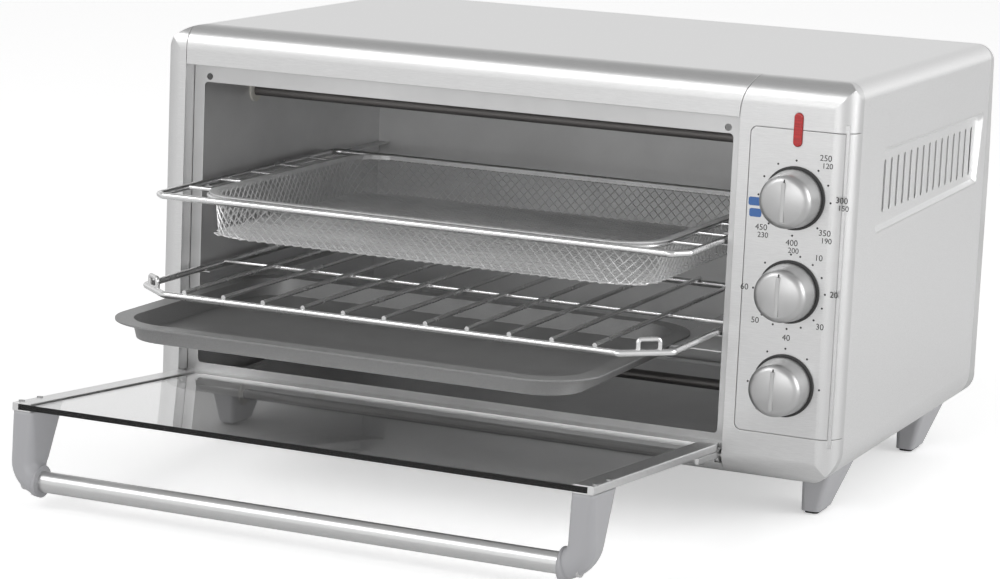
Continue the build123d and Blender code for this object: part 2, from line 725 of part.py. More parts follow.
def shelf_runners_left():
    inner = CAVITY_LEFT + 0.05
    runners = [angle_runner(inner, RUNNER_WIDTH, top) for top in RUNNER_TOPS[1:]]
    reach = PAN_LEFT + PAN_RIM_WIDTH - 1.5 - inner
    runners.append(angle_runner(inner, reach, PAN_RUNNER_TOP))
    return group(runners)


def shelf_runners_right():
    inner = CAVITY_RIGHT - 0.05
    runners = [angle_runner(inner, -RUNNER_WIDTH, top) for top in RUNNER_TOPS[1:]]
    reach = PAN_RIGHT - PAN_RIM_WIDTH + 1.5 - inner
    runners.append(angle_runner(inner, reach, PAN_RUNNER_TOP))
    return group(runners)


def tray_runners():
    """Two strips on the bottom plate that the crumb tray slides on."""
    top = RUNNER_TOPS[0]
    strips = []
    for x0, x1 in ((CAVITY_LEFT + 2, CAVITY_LEFT + 14), (CAVITY_RIGHT - 14, CAVITY_RIGHT - 2)):
        strips.append(block(x0, x1, WRAP_FRONT + 1, CAVITY_BACK - 1, PLATE_TOP, top))
    return group(strips)


def heater_pair(z):
    """Two sheathed rods across the cavity at one height."""
    left, right = CAVITY_LEFT - 12, CAVITY_RIGHT + 12
    return group([rod((left, y, z), (right, y, z), HEATER_RADIUS) for y in HEATER_ROWS])


def insulator(x, direction, y, z):
    """A shouldered ceramic ring that carries one heater end in its wall."""
    inner = (x - direction * 1.5, y, z)
    outer = (x + direction * 9.0, y, z)
    ring = rod(inner, outer, INSULATOR_RADIUS)
    ring += rod((x + direction * 1.1, y, z), (x + direction * 4.0, y, z), INSULATOR_FLANGE)
    return ring - rod(inner, outer, HEATER_RADIUS + 0.05)


def heater_insulators():
    rings = []
    for x, direction in ((CAVITY_LEFT, -1), (CAVITY_RIGHT, 1)):
        for y in HEATER_ROWS:
            for z in (UPPER_HEATER, LOWER_HEATER):
                rings.append(insulator(x, direction, y, z))
    return group(rings)


# Shelves that ride out with the door


def shelf_loop(front, depth, level, chamfers, radius):
    """Corner points of a shelf's outer wire, with its front corners cut."""
    left, right = SHELF_LEFT + radius, SHELF_RIGHT - radius
    back = front + depth
    (left_x, left_y), (right_x, right_y) = chamfers
    return [
        (left + left_x, front, level), (right - right_x, front, level),
        (right, front + right_y, level), (right, back, level),
        (left, back, level), (left, front + left_y, level),
    ]


def upright_stop(start, end, height, radius):
    """A small upturned wire bridge between two points."""
    top = height - 2
    points = [
        start, (start[0], start[1], start[2] + top),
        (end[0], end[1], end[2] + top), end,
    ]
    return wire(points, [2.5, 2.5], radius)


def wire_rack():
    cut = (RACK_CHAMFER_X, RACK_CHAMFER_Y)
    points = shelf_loop(RACK_FRONT, RACK_DEPTH, RACK_LEVEL, (cut, cut), WIRE_RADIUS)
    rack = wire(points, [6, 6, 6, 8, 8, 6], WIRE_RADIUS, close=True)
    lift = RACK_LEVEL + WIRE_RADIUS + ROD_RADIUS - 0.6
    for index in range(RACK_ROD_COUNT):
        x = OPENING_CENTRE + (index - (RACK_ROD_COUNT - 1) / 2) * RACK_ROD_SPACING
        start, end = (x, RACK_FRONT - 1, lift), (x, RACK_FRONT + RACK_DEPTH + 1, lift)
        rack += rod(start, end, ROD_RADIUS)
    middle = RACK_FRONT + RACK_DEPTH / 2
    brace_z = RACK_LEVEL + 1.0
    rack += rod((SHELF_LEFT + WIRE_RADIUS, middle, brace_z),
                (SHELF_RIGHT - WIRE_RADIUS, middle, brace_z), ROD_RADIUS)
    for near, far in ((points[0], points[5]), (points[1], points[2])):
        start = [near[k] + (far[k] - near[k]) * 0.35 for k in range(3)]
        end = [near[k] + (far[k] - near[k]) * 0.75 for k in range(3)]
        rack += upright_stop(tuple(start), tuple(end), STOP_HEIGHT + WIRE_RADIUS, ROD_RADIUS)
    return rack


BASKET_LEFT = SHELF_LEFT + BASKET_SIDE_INSET
BASKET_RIGHT = SHELF_RIGHT - BASKET_SIDE_INSET
BASKET_NEAR = BASKET_FRONT + BASKET_FRONT_INSET
BASKET_FAR = BASKET_FRONT + BASKET_FRAME_DEPTH - BASKET_FRONT_INSET
BASKET_TOP = BASKET_LEVEL - 2.0


def bridge_places(start, end):
    """Even places for the short wires between two limits."""
    count = max(2, round((end - start) / BRIDGE_SPACING) + 1)
    return [start + (end - start) * k / (count - 1) for k in range(count)]


def basket_frame():
    """The basket's carrier: an outer wire, an inner wire and the wires between."""
    points = shelf_loop(BASKET_FRONT, BASKET_FRAME_DEPTH, BASKET_LEVEL,
                        ((6, 6), (10, 13)), WIRE_RADIUS)
    frame = wire(points, [4, 4, 4, 8, 8, 4], WIRE_RADIUS, close=True)
    inner_z = BASKET_LEVEL
    grow = ROD_RADIUS + BASKET_WALL + 0.6
    inner = [(BASKET_LEFT - grow, BASKET_NEAR - grow, inner_z),
             (BASKET_RIGHT + grow, BASKET_NEAR - grow, inner_z),
             (BASKET_RIGHT + grow, BASKET_FAR + grow, inner_z),
             (BASKET_LEFT - grow, BASKET_FAR + grow, inner_z)]
    pieces = [wire(inner, [BASKET_CORNER] * 4, ROD_RADIUS, close=True)]
    reach = BASKET_CORNER + 4
    back = BASKET_FRONT + BASKET_FRAME_DEPTH
    for x in bridge_places(BASKET_LEFT + reach, BASKET_RIGHT - reach):
        pieces.append(rod((x, BASKET_FRONT, inner_z), (x, BASKET_NEAR - grow, inner_z), BRIDGE_RADIUS))
        pieces.append(rod((x, BASKET_FAR + grow, inner_z), (x, back, inner_z), BRIDGE_RADIUS))
    left, right = SHELF_LEFT + WIRE_RADIUS, SHELF_RIGHT - WIRE_RADIUS
    for y in bridge_places(BASKET_NEAR + reach, BASKET_FAR - reach):
        pieces.append(rod((left, y, inner_z), (BASKET_LEFT - grow, y, inner_z), BRIDGE_RADIUS))
        pieces.append(rod((BASKET_RIGHT + grow, y, inner_z), (right, y, inner_z), BRIDGE_RADIUS))
    low, high, far = BASKET_LEVEL - 1.0, BASKET_LEVEL + 0.2, back - 10
    pieces.append(block(left, left + FLANGE_WIDTH, FLANGE_FRONT, far, low, high))
    pieces.append(block(right - FLANGE_WIDTH, right, FLANGE_FRONT, far, low, high))
    return frame + pieces


def fry_basket():
    """The open basket: a rounded tray whose lip hangs on the inner wire."""
    taper = -6.0
    lip = BASKET_LEVEL + ROD_RADIUS + 0.1
    height = lip - BASKET_BOTTOM
    shrink = height * math.tan(math.radians(-taper))
    outer = along_z(rounded(BASKET_LEFT + shrink, BASKET_RIGHT - shrink, BASKET_NEAR + shrink,
                            BASKET_FAR - shrink, BASKET_CORNER - shrink), BASKET_BOTTOM, lip, taper)
    wall = BASKET_WALL
    inner = along_z(rounded(BASKET_LEFT + shrink + wall, BASKET_RIGHT - shrink - wall,
                            BASKET_NEAR + shrink + wall, BASKET_FAR - shrink - wall,
                            BASKET_CORNER - shrink - wall), BASKET_BOTTOM + wall, lip + wall, taper)
    rim_out = 2 * ROD_RADIUS + 1.5
    rim = rounded(BASKET_LEFT - rim_out, BASKET_RIGHT + rim_out, BASKET_NEAR - rim_out,
                  BASKET_FAR + rim_out, BASKET_CORNER + rim_out)
    basket = outer + along_z(rim, lip, lip + BASKET_WALL)
    return basket - inner - along_z(rounded(
        BASKET_LEFT + wall, BASKET_RIGHT - wall, BASKET_NEAR + wall, BASKET_FAR - wall,
        BASKET_CORNER - wall), lip - 0.01, lip + wall + 1)


def baking_pan():
    """A shallow pan with a flat rim and generous corners."""
    x0, x1 = PAN_LEFT, PAN_RIGHT
    y0, y1 = PAN_FRONT, PAN_FRONT + PAN_DEPTH
    top, low = PAN_RIM_TOP, PAN_RIM_TOP - PAN_HEIGHT
    taper = -14.0
    shrink = PAN_HEIGHT * math.tan(math.radians(-taper))
    inset = PAN_RIM_WIDTH + shrink
    corner = PAN_CORNER - inset
    outer = along_z(rounded(x0 + inset, x1 - inset, y0 + inset, y1 - inset, corner), low, top, taper)
    hollow_inset = inset + PAN_SHEET
    inner = along_z(rounded(x0 + hollow_inset, x1 - hollow_inset, y0 + hollow_inset,
                            y1 - hollow_inset, corner - PAN_SHEET), low + PAN_SHEET, top + 1, taper)
    rim = along_z(rounded(x0, x1, y0, y1, PAN_CORNER), top - PAN_SHEET, top)
    return outer + rim - inner


def crumb_tray():
    """A flat tray with a low rim, pulled out under the door by its lip."""
    x0, x1 = CAVITY_LEFT + TRAY_SIDE_GAP, CAVITY_RIGHT - TRAY_SIDE_GAP
    lip_x0, lip_x1 = CAVITY_LEFT + LIP_SIDE_GAP, CAVITY_RIGHT - LIP_SIDE_GAP
    y0 = MOULDING_WALL + 3.0
    floor = TRAY_FLOOR + TRAY_SHEET
    tray = block(x0, x1, y0, TRAY_BACK, TRAY_FLOOR, TRAY_FLOOR + TRAY_RIM)
    tray -= block(x0 + TRAY_SHEET, x1 - TRAY_SHEET, y0 + TRAY_SHEET, TRAY_BACK - TRAY_SHEET,
                  floor, TRAY_FLOOR + TRAY_RIM + 1)
    neck = block(lip_x0, lip_x1, MOULDING_WALL - 1.5, y0 + 1, TRAY_FLOOR, floor)
    return tray + neck + tray_lip()


# Controls


def knob(z):
    """A turned cap with a domed face, a dished ring and a bore for its shaft."""
    base = -(DIAL_RING_HEIGHT + KNOB_LIFT)
    face = base - KNOB_LENGTH
    rim = KNOB_FACE_RADIUS
    profile = Polyline((0, base), (KNOB_BASE_RADIUS, base), (KNOB_BASE_RADIUS, base - 3),
                       (rim + 0.7, base - KNOB_LENGTH * 0.72))
    profile += ThreePointArc((rim + 0.7, base - KNOB_LENGTH * 0.72),
                             (rim - 0.6, base - KNOB_LENGTH * 0.88), (rim - 3.6, face + 0.6))
    profile += ThreePointArc((rim - 3.6, face + 0.6), ((rim - 3.6) / 2, face - 0.8), (0, face - 1.2))
    profile += Line((0, face - 1.2), (0, base))
    body = revolve(Plane.XY * make_face(profile), Axis.Y)
    ridge = Pos(0, face - 0.2, 0) * Box(2.6, 2.4, rim * 1.5)
    body += ridge & Pos(0, face, 0) * Rot(90, 0, 0) * Cylinder(rim - 2, 6)
    bore = rod((0, base + 1, 0), (0, face + 7, 0), SHAFT_RADIUS + SCREW_CLEARANCE)
    return Pos(DIAL_X, 0, z) * (body - bore)


def knob_shaft(z):
    """The spindle of one control, with the flat that drives its knob."""
    base = -(DIAL_RING_HEIGHT + KNOB_LIFT)
    spindle = rod((DIAL_X, base - KNOB_LENGTH + 7.2, z), (DIAL_X, CARRIER_BACK + 12, z), SHAFT_RADIUS)
    flat = block(DIAL_X - 5, DIAL_X + 5, base - KNOB_LENGTH, base - 2, z + SHAFT_RADIUS * 0.6, z + 5)
    return spindle - flat


def dial_rings():
    """Dark rings round the shafts, under the knobs."""
    rings = []
    for z in DIAL_HEIGHTS:
        outer = rod((DIAL_X, -DIAL_RING_HEIGHT, z), (DIAL_X, -0.05, z), DIAL_RING_RADIUS)
        rings.append(outer - rod((DIAL_X, -2, z), (DIAL_X, 1, z), BUSHING_RADIUS + 1))
    return group(rings)


def control_carrier():
    """The steel plate behind the controls."""
    x0, x1 = OPENING_RIGHT + 5, HALF - 6
    face = rounded(x0, x1, BODY_BOTTOM + 20, BODY_TOP - 20, 4)
    for z in DIAL_HEIGHTS:
        face -= Pos(DIAL_X, z) * Circle(BUSHING_RADIUS + 0.1)
    return along_y(face, MOULDING_DEPTH + 0.1, CARRIER_BACK)


def control_body(z, width, height, depth):
    """A switch body behind the plate, with its threaded bushing and bore."""
    back = CARRIER_BACK + 0.05
    x0, x1 = DIAL_X - width / 2, DIAL_X + width / 2
    case = fillet(block(x0, x1, back, back + depth, z - height / 2, z + height / 2).edges()
                  .filter_by(Axis.Y), 2.0)
    case += rod((DIAL_X, 0.5, z), (DIAL_X, back + 1, z), BUSHING_RADIUS)
    return case - rod((DIAL_X, -1, z), (DIAL_X, back + 13, z), SHAFT_RADIUS + SHAFT_CLEARANCE)


def thermostat():
    return control_body(DIAL_HEIGHTS[0], *THERMOSTAT_CASE)


def function_switch():
    return control_body(DIAL_HEIGHTS[2], *SWITCH_CASE)


def timer_mechanism():
    return control_body(DIAL_HEIGHTS[1], *TIMER_CASE)


# Convection fan, on the cavity's right wall


def fan_shroud():
    """The pressed cup round the fan, with the motor on its floor."""
    x0 = CAVITY_RIGHT + CAVITY_SHEET + 0.05
    x1 = x0 + SHROUD_DEPTH
    cup = rod((x0, FAN_Y, FAN_Z), (x1, FAN_Y, FAN_Z), SHROUD_RADIUS)
    cup = fillet(cup.edges().sort_by(Axis.X)[-1], 5.0)
    cup -= rod((x0 - 1, FAN_Y, FAN_Z), (x1 - 1.2, FAN_Y, FAN_Z), SHROUD_RADIUS - 1.2 - 3.6)
    return cup - rod((x0, FAN_Y, FAN_Z), (x1 + 1, FAN_Y, FAN_Z), 6.0)


def fan_motor():
    x0 = CAVITY_RIGHT + CAVITY_SHEET + SHROUD_DEPTH + 0.1
    motor = rod((x0, FAN_Y, FAN_Z), (x0 + MOTOR_LENGTH, FAN_Y, FAN_Z), MOTOR_RADIUS)
    motor = fillet(motor.edges().filter_by(GeomType.CIRCLE), 2.5)
    return motor - rod((x0 - 1, FAN_Y, FAN_Z), (x0 + 20, FAN_Y, FAN_Z), SHAFT_RADIUS + SHAFT_CLEARANCE)


def convection_fan():
    """A hub with slanted blades on the motor's shaft."""
    x0 = CAVITY_RIGHT + CAVITY_SHEET + 5.0
    hub = rod((x0, FAN_Y, FAN_Z), (x0 + FAN_WIDTH, FAN_Y, FAN_Z), 9.0)
    blade_length = FAN_RADIUS - 2 - 7.0
    blade = Pos(x0 + FAN_WIDTH / 2, FAN_Y, FAN_Z + 7.0 + blade_length / 2) * Rot(0, 0, 30) * Box(
        FAN_WIDTH - 2, 1.0, blade_length)
    turn = Axis((x0, FAN_Y, FAN_Z), (1, 0, 0))
    for index in range(FAN_BLADES):
        hub += blade.rotate(turn, 360.0 * index / FAN_BLADES)
    return hub + rod((x0 + 2, FAN_Y, FAN_Z), (x0 + SHROUD_DEPTH + 12, FAN_Y, FAN_Z), SHAFT_RADIUS)


# Feet and fasteners


def foot(x, y, inward):
    """A tapered foot under the body's edge; inward is the side its tip leans to."""
    top = Pos(x, y + FOOT_LENGTH / 2, BODY_BOTTOM - 0.05) * RectangleRounded(
        FOOT_TOP_WIDTH, FOOT_LENGTH, 4)
    tip_y = y + FOOT_TIP_LENGTH / 2 + 2
    tip_x = x + inward * (FOOT_TOP_WIDTH - FOOT_TIP_WIDTH) / 2
    tip = Pos(tip_x, tip_y, PAD_HEIGHT / 2) * RectangleRounded(FOOT_TIP_WIDTH, FOOT_TIP_LENGTH, 4)
    leg = loft([tip, top])
    return leg - foot_pad(tip_x, tip_y, 0.05)


def foot_pad(x, y, clearance=0.0):
    """A rubber button let into the foot's tip."""
    pad = RectangleRounded(
        FOOT_TIP_WIDTH - 4 + clearance, FOOT_TIP_LENGTH - 6 + clearance, 3)
    return along_z(Pos(x, y) * pad, 0, PAD_HEIGHT + clearance)


def foot_places():
    """Centre x, front y and inward side of each foot."""
    x = HALF - FOOT_INSET - FOOT_TOP_WIDTH / 2
    return [(side * x, y, -side) for y in (FRONT_FOOT_Y, REAR_FOOT_Y) for side in (-1, 1)]


def feet():
    return group([foot(x, y, inward) for x, y, inward in foot_places()])


def foot_pads():
    pads = []
    for x, y, inward in foot_places():
        tip_x = x + inward * (FOOT_TOP_WIDTH - FOOT_TIP_WIDTH) / 2
        pads.append(foot_pad(tip_x, y + FOOT_TIP_LENGTH / 2 + 2))
    return group(pads)


def rear_screws():
    """Screws round the back cover, standing on its slanted face."""
    screws = []
    for x in (-HALF + 40, 0.0, HALF - 40):
        y = WRAP_BACK + REAR_BULGE
        head = rod((x, y + 0.05, BODY_BOTTOM + 22), (x, y + 1.6, BODY_BOTTOM + 22), 3.5)
        screws.append(head)
    return group(screws)


def parts():
    """Every node of the oven by name."""
    left_rail, left_bracket, left_arm = door_rail_left(), handle_bracket_left(), hinge_arm_left()
    return {
        "outer_wrap": outer_wrap(),
        "side_vent_grille": side_vent_grille(),
        "bottom_plate": bottom_plate(),
        "rear_cover": rear_cover(),
        "rear_screws": rear_screws(),
        "cord_gland": cord_gland(),
        "left_end_cap": left_end_cap(),
        "top_trim": top_trim(),
        "bottom_trim": bottom_trim(),
        "control_housing": control_housing(),
        "control_fascia": control_fascia(),
        "control_carrier": control_carrier(),
        "indicator_lamp": indicator_lamp(),
        "dial_rings": dial_rings(),
        "thermostat": thermostat(),
        "timer_mechanism": timer_mechanism(),
        "function_switch": function_switch(),
        "temperature_knob": knob(DIAL_HEIGHTS[0]),
        "temperature_shaft": knob_shaft(DIAL_HEIGHTS[0]),
        "timer_knob": knob(DIAL_HEIGHTS[1]),
        "timer_shaft": knob_shaft(DIAL_HEIGHTS[1]),
        "function_knob": knob(DIAL_HEIGHTS[2]),
        "function_shaft": knob_shaft(DIAL_HEIGHTS[2]),
        "door_jamb": door_jamb(),
        "cavity_left_wall": cavity_left_wall(),
        "cavity_right_wall": cavity_right_wall(),
        "cavity_roof": cavity_roof(),
        "cavity_back": cavity_back(),
        "shelf_runners_left": shelf_runners_left(),
        "shelf_runners_right": shelf_runners_right(),
        "tray_runners": tray_runners(),
        "upper_heaters": heater_pair(UPPER_HEATER),
        "lower_heaters": heater_pair(LOWER_HEATER),
        "heater_insulators": heater_insulators(),
        "fan_shroud": fan_shroud(),
        "fan_motor": fan_motor(),
        "convection_fan": convection_fan(),
        "hinge_pins": hinge_pins(),
        "feet": feet(),
        "foot_pads": foot_pads(),
        "door_glass": dropped(door_glass()),
        "door_rail_left": dropped(left_rail),
        "door_rail_right": dropped(mirrored(left_rail)),
        "hinge_arm_left": dropped(left_arm),
        "hinge_arm_right": dropped(mirrored(left_arm)),
        "handle_bracket_left": dropped(left_bracket),
        "handle_bracket_right": dropped(mirrored(left_bracket)),
        "handle_bar": dropped(handle_bar()),
        "door_screws": dropped(door_screws()),
        "wire_rack": wire_rack(),
        "basket_frame": basket_frame(),
        "fry_basket": fry_basket(),
        "baking_pan": baking_pan(),
        "crumb_tray": crumb_tray(),
    }


def main():
    os.makedirs("parts", exist_ok=True)
    nodes = parts()
    reach = Compound(children=[Compound(solid.solids()) for solid in nodes.values()])
    box = reach.bounding_box()
    origin_y = (box.min.Y + box.max.Y) / 2
    print("front face is at y =", round(-origin_y, 3))
    for name, solid in nodes.items():
        export_step(Pos(0, -origin_y, 0) * Compound(solid.solids()), f"parts/{name}.step")


main()
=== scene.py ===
import math

import bmesh
import bpy
from mathutils import Matrix, Vector

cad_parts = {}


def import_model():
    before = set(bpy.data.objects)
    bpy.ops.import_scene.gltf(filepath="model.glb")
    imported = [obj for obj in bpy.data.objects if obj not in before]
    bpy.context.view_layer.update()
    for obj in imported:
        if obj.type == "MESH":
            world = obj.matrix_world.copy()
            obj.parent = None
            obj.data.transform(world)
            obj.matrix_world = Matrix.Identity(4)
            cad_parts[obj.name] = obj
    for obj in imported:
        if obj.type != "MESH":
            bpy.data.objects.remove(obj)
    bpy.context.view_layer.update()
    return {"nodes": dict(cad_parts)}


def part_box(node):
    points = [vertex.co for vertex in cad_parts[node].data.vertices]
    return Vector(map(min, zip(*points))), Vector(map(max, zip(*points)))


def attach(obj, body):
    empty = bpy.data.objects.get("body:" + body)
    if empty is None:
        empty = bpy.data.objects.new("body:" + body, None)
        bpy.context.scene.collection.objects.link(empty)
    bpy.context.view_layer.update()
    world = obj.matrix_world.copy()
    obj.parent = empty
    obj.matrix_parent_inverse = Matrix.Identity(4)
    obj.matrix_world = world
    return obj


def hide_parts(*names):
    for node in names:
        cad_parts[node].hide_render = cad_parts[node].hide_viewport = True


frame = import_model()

nodes = frame["nodes"]
MM = 0.001

# Places read from the frame
FRONT_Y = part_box("control_housing")[0].y
DIAL_CENTRES = {
    name: (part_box(f"{name}_knob")[0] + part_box(f"{name}_knob")[1]) / 2
    for name in ("temperature", "timer", "function")
}
BASKET_LOW, BASKET_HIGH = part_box("fry_basket")

# Camera, fitted to the view that the photograph's edges give
CAMERA_X = 0.93739
CAMERA_BEFORE_FRONT = 2.12989
CAMERA_HEIGHT = 0.57643
CAMERA_YAW = 23.48104
CAMERA_PITCH = -10.4581
CAMERA_ROLL = -2.47206
CAMERA_LENS = 116.72841


# Materials

EDGE_ROUND = 0.8 * MM
RAMP_LOW = 0.3
RAMP_HIGH = 0.7


class Finish:
    """One node material being built around a Principled shader."""

    def __init__(self, name, colour, metallic=0.0, roughness=0.5):
        self.material = bpy.data.materials.new(name)
        self.material.use_nodes = True
        self.tree = self.material.node_tree
        self.shader = self.tree.nodes["Principled BSDF"]
        self.shader.inputs["Base Color"].default_value = (*colour, 1.0)
        self.shader.inputs["Metallic"].default_value = metallic
        self.shader.inputs["Roughness"].default_value = roughness
        self.normal = None

    def node(self, kind, **settings):
        """A new node with some of its properties set."""
        made = self.tree.nodes.new(kind)
        for key, value in settings.items():
            setattr(made, key, value)
        return made

    def link(self, output, socket):
        self.tree.links.new(output, socket)

    def coordinates(self, scale):
        """Object coordinates stretched by a scale along each axis."""
        place = self.node("ShaderNodeTexCoord")
        mapping = self.node("ShaderNodeMapping")
        mapping.inputs["Scale"].default_value = scale
        self.link(place.outputs["Object"], mapping.inputs["Vector"])
        return mapping.outputs["Vector"]

    def noise(self, scale, detail=3.0, stretch=(1, 1, 1)):
        """Noise of a given number of grains per metre."""
        noise = self.node("ShaderNodeTexNoise")
        noise.inputs["Scale"].default_value = scale
        noise.inputs["Detail"].default_value = detail
        self.link(self.coordinates(stretch), noise.inputs["Vector"])
        return noise.outputs["Fac"]

    def soften_edges(self, radius):
        """Catches light along edges, as small real rounds do."""
        bevel = self.node("ShaderNodeBevel", samples=4)
        bevel.inputs["Radius"].default_value = radius
        if self.normal is not None:
            self.link(self.normal, bevel.inputs["Normal"])
        self.set_normal(bevel.outputs["Normal"])
        return self

    def set_normal(self, output):
        self.normal = output
        self.link(output, self.shader.inputs["Normal"])

    def bump(self, height, strength, distance):
        bump = self.node("ShaderNodeBump")
        bump.inputs["Strength"].default_value = strength
        bump.inputs["Distance"].default_value = distance
        self.link(height, bump.inputs["Height"])
        if self.normal is not None:
            self.link(self.normal, bump.inputs["Normal"])
        self.set_normal(bump.outputs["Normal"])
        return self

    def vary_roughness(self, height, low, high):
        ramp = self.node("ShaderNodeMapRange")
        ramp.inputs["To Min"].default_value = low
        ramp.inputs["To Max"].default_value = high
        self.link(height, ramp.inputs["Value"])
        self.link(ramp.outputs["Result"], self.shader.inputs["Roughness"])
        return self

    def vary_colour(self, height, dark, light):
        """Runs the base colour between two shades."""
        ramp = self.node("ShaderNodeValToRGB")
        ramp.color_ramp.elements[0].position = RAMP_LOW
        ramp.color_ramp.elements[1].position = RAMP_HIGH
        ramp.color_ramp.elements[0].color = (*dark, 1.0)
        ramp.color_ramp.elements[1].color = (*light, 1.0)
        self.link(height, ramp.inputs["Fac"])
        self.link(ramp.outputs["Color"], self.shader.inputs["Base Color"])
        return self


def grey(value, warm=0.0):
    return (value + warm, value, value - warm * 0.5)


def brushed(name, value, roughness, stretch, strength=0.06, metallic=1.0):
    """Brushed metal; the grain runs along the axis with the smallest stretch."""
    finish = Finish(name, grey(value), metallic, roughness)
    grain = finish.noise(260.0, 4.0, stretch)
    finish.soften_edges(EDGE_ROUND)
    finish.bump(grain, strength, 0.0002)
    finish.vary_roughness(grain, roughness - 0.07, roughness + 0.09)
    finish.vary_colour(grain, grey(value * 0.90), grey(min(1.0, value * 1.06)))
    return finish.material


def plain_metal(name, value, roughness, metallic=1.0, warm=0.0):
    """Sheet metal with faint clouding."""
    finish = Finish(name, grey(value, warm), metallic, roughness)
    cloud = finish.noise(14.0, 5.0)
    fine = finish.noise(900.0, 2.0)
    finish.soften_edges(0.0005)
    finish.bump(fine, 0.03, 0.0002)
    finish.vary_roughness(cloud, roughness - 0.05, roughness + 0.10)
    finish.vary_colour(cloud, grey(value * 0.9, warm), grey(value * 1.06, warm))
    return finish.material


def plastic(name, colour, roughness, grain_strength=0.08):
    """Moulded plastic with a fine spark-eroded grain."""
    finish = Finish(name, colour, 0.0, roughness)
    grain = finish.noise(1500.0, 2.0)
    finish.soften_edges(EDGE_ROUND)
    finish.bump(grain, grain_strength, 0.0003)
    finish.vary_roughness(finish.noise(30.0), roughness - 0.05, roughness + 0.05)
    return finish.material


def spun(name, value, roughness, centre):
    """Metal turned round an axis along Y, with rings of fine grooves."""
    finish = Finish(name, grey(value), 1.0, roughness)
    place = finish.node("ShaderNodeTexCoord")
    shift = finish.node("ShaderNodeVectorMath", operation="SUBTRACT")
    shift.inputs[1].default_value = centre
    flat = finish.node("ShaderNodeVectorMath", operation="MULTIPLY")
    flat.inputs[1].default_value = (1, 0, 1)
    reach = finish.node("ShaderNodeVectorMath", operation="LENGTH")
    noise = finish.node("ShaderNodeTexNoise", noise_dimensions="1D")
    noise.inputs["Scale"].default_value = 2600.0
    finish.link(place.outputs["Object"], shift.inputs[0])
    finish.link(shift.outputs["Vector"], flat.inputs[0])
    finish.link(flat.outputs["Vector"], reach.inputs[0])
    finish.link(reach.outputs["Value"], noise.inputs["W"])
    finish.soften_edges(0.0006)
    finish.bump(noise.outputs["Fac"], 0.08, 0.0002)
    finish.vary_roughness(noise.outputs["Fac"], roughness - 0.05, roughness + 0.08)
    return finish.material


def glass():
    """Clear glass that lets lamp light through."""
    finish = Finish("door_glass_clear", (1.0, 1.0, 1.0), 0.0, 0.01)
    finish.shader.inputs["Transmission Weight"].default_value = 1.0
    finish.shader.inputs["IOR"].default_value = 1.46
    finish.bump(finish.noise(2.0, 1.0), 0.01, 0.001)
    output = finish.tree.nodes["Material Output"]
    path = finish.node("ShaderNodeLightPath")
    clear = finish.node("ShaderNodeBsdfTransparent")
    clear.inputs["Color"].default_value = (0.98, 0.98, 0.98, 1)
    mix = finish.node("ShaderNodeMixShader")
    finish.link(path.outputs["Is Shadow Ray"], mix.inputs["Fac"])
    finish.link(finish.shader.outputs["BSDF"], mix.inputs[1])
    finish.link(clear.outputs["BSDF"], mix.inputs[2])
    finish.link(mix.outputs["Shader"], output.inputs["Surface"])
    return finish.material


def red_lens():
    finish = Finish("lamp_red", (0.42, 0.006, 0.008), 0.0, 0.12)
    finish.shader.inputs["Coat Weight"].default_value = 0.7
    finish.shader.inputs["Coat Roughness"].default_value = 0.04
    # Painted highlight and shade: lighter and darker red bands stand in for how light falls
    # on the lens's ribs.
    painted_rib_shading = finish.noise(500.0, 1.0, (0.1, 1, 4))
    finish.vary_colour(painted_rib_shading, (0.34, 0.004, 0.006), (0.55, 0.012, 0.012))
    return finish.material


def chrome(name, value, roughness, metallic=1.0):
    finish = Finish(name, grey(value), metallic, roughness)
    finish.vary_roughness(finish.noise(60.0), roughness - 0.04, roughness + 0.08)
    finish.vary_colour(finish.noise(25.0), grey(value * 0.9), grey(min(1, value * 1.05)))
    return finish.material


def non_stick():
    """Dark baked coating with a fine speckle."""
    finish = Finish("pan_non_stick", grey(0.28), 0.4, 0.36)
    speckle = finish.noise(1800.0, 2.0)
    finish.bump(speckle, 0.10, 0.0002)
    finish.vary_roughness(finish.noise(18.0), 0.32, 0.46)
    finish.vary_colour(speckle, grey(0.25), grey(0.31))
    return finish.material


SIDE_GRAIN = (40, 1, 40)
FRONT_GRAIN = (0.6, 40, 40)
BAR_GRAIN = (0.6, 60, 60)
RAIL_GRAIN = (60, 0.6, 60)

MATERIALS = {
    "outer": brushed("outer_brushed_steel", 0.88, 0.36, SIDE_GRAIN),
    "front": brushed("front_brushed_silver", 0.76, 0.34, FRONT_GRAIN, 0.10),
    "fascia": brushed("fascia_brushed_silver", 0.74, 0.36, FRONT_GRAIN, 0.10),
    "rear": plain_metal("rear_painted_silver", 0.62, 0.5, 0.6),
    "cavity": plain_metal("cavity_steel", 0.76, 0.40, 0.7),
    "jamb": plain_metal("jamb_steel", 0.66, 0.36),
    "hidden": plain_metal("hidden_steel", 0.45, 0.45),
    "tray": plain_metal("tray_sheet", 0.66, 0.36),
    "chrome": chrome("shelf_chrome", 0.85, 0.24),
    "bar": brushed("handle_brushed_bar", 0.70, 0.32, BAR_GRAIN),
    "rail": brushed("door_rail_steel", 0.74, 0.28, RAIL_GRAIN),
    "bracket": plastic("bracket_silver_plastic", (0.40, 0.40, 0.415), 0.34, 0.03),
    "foot": plastic("foot_grey_plastic", (0.43, 0.43, 0.445), 0.48),
    "dark": plastic("dark_plastic", grey(0.035), 0.42),
    "rubber": plastic("foot_rubber", grey(0.02), 0.8),
    "ceramic": plastic("insulator_ceramic", (0.78, 0.76, 0.70), 0.6),
    "sheath": plain_metal("heater_sheath", 0.22, 0.5, 0.9, warm=0.01),
    "motor": plain_metal("motor_case", 0.36, 0.45),
    "screw": chrome("screw_steel", 0.40, 0.34),
    "glass": glass(),
    "lamp": red_lens(),
    "pan": non_stick(),
}

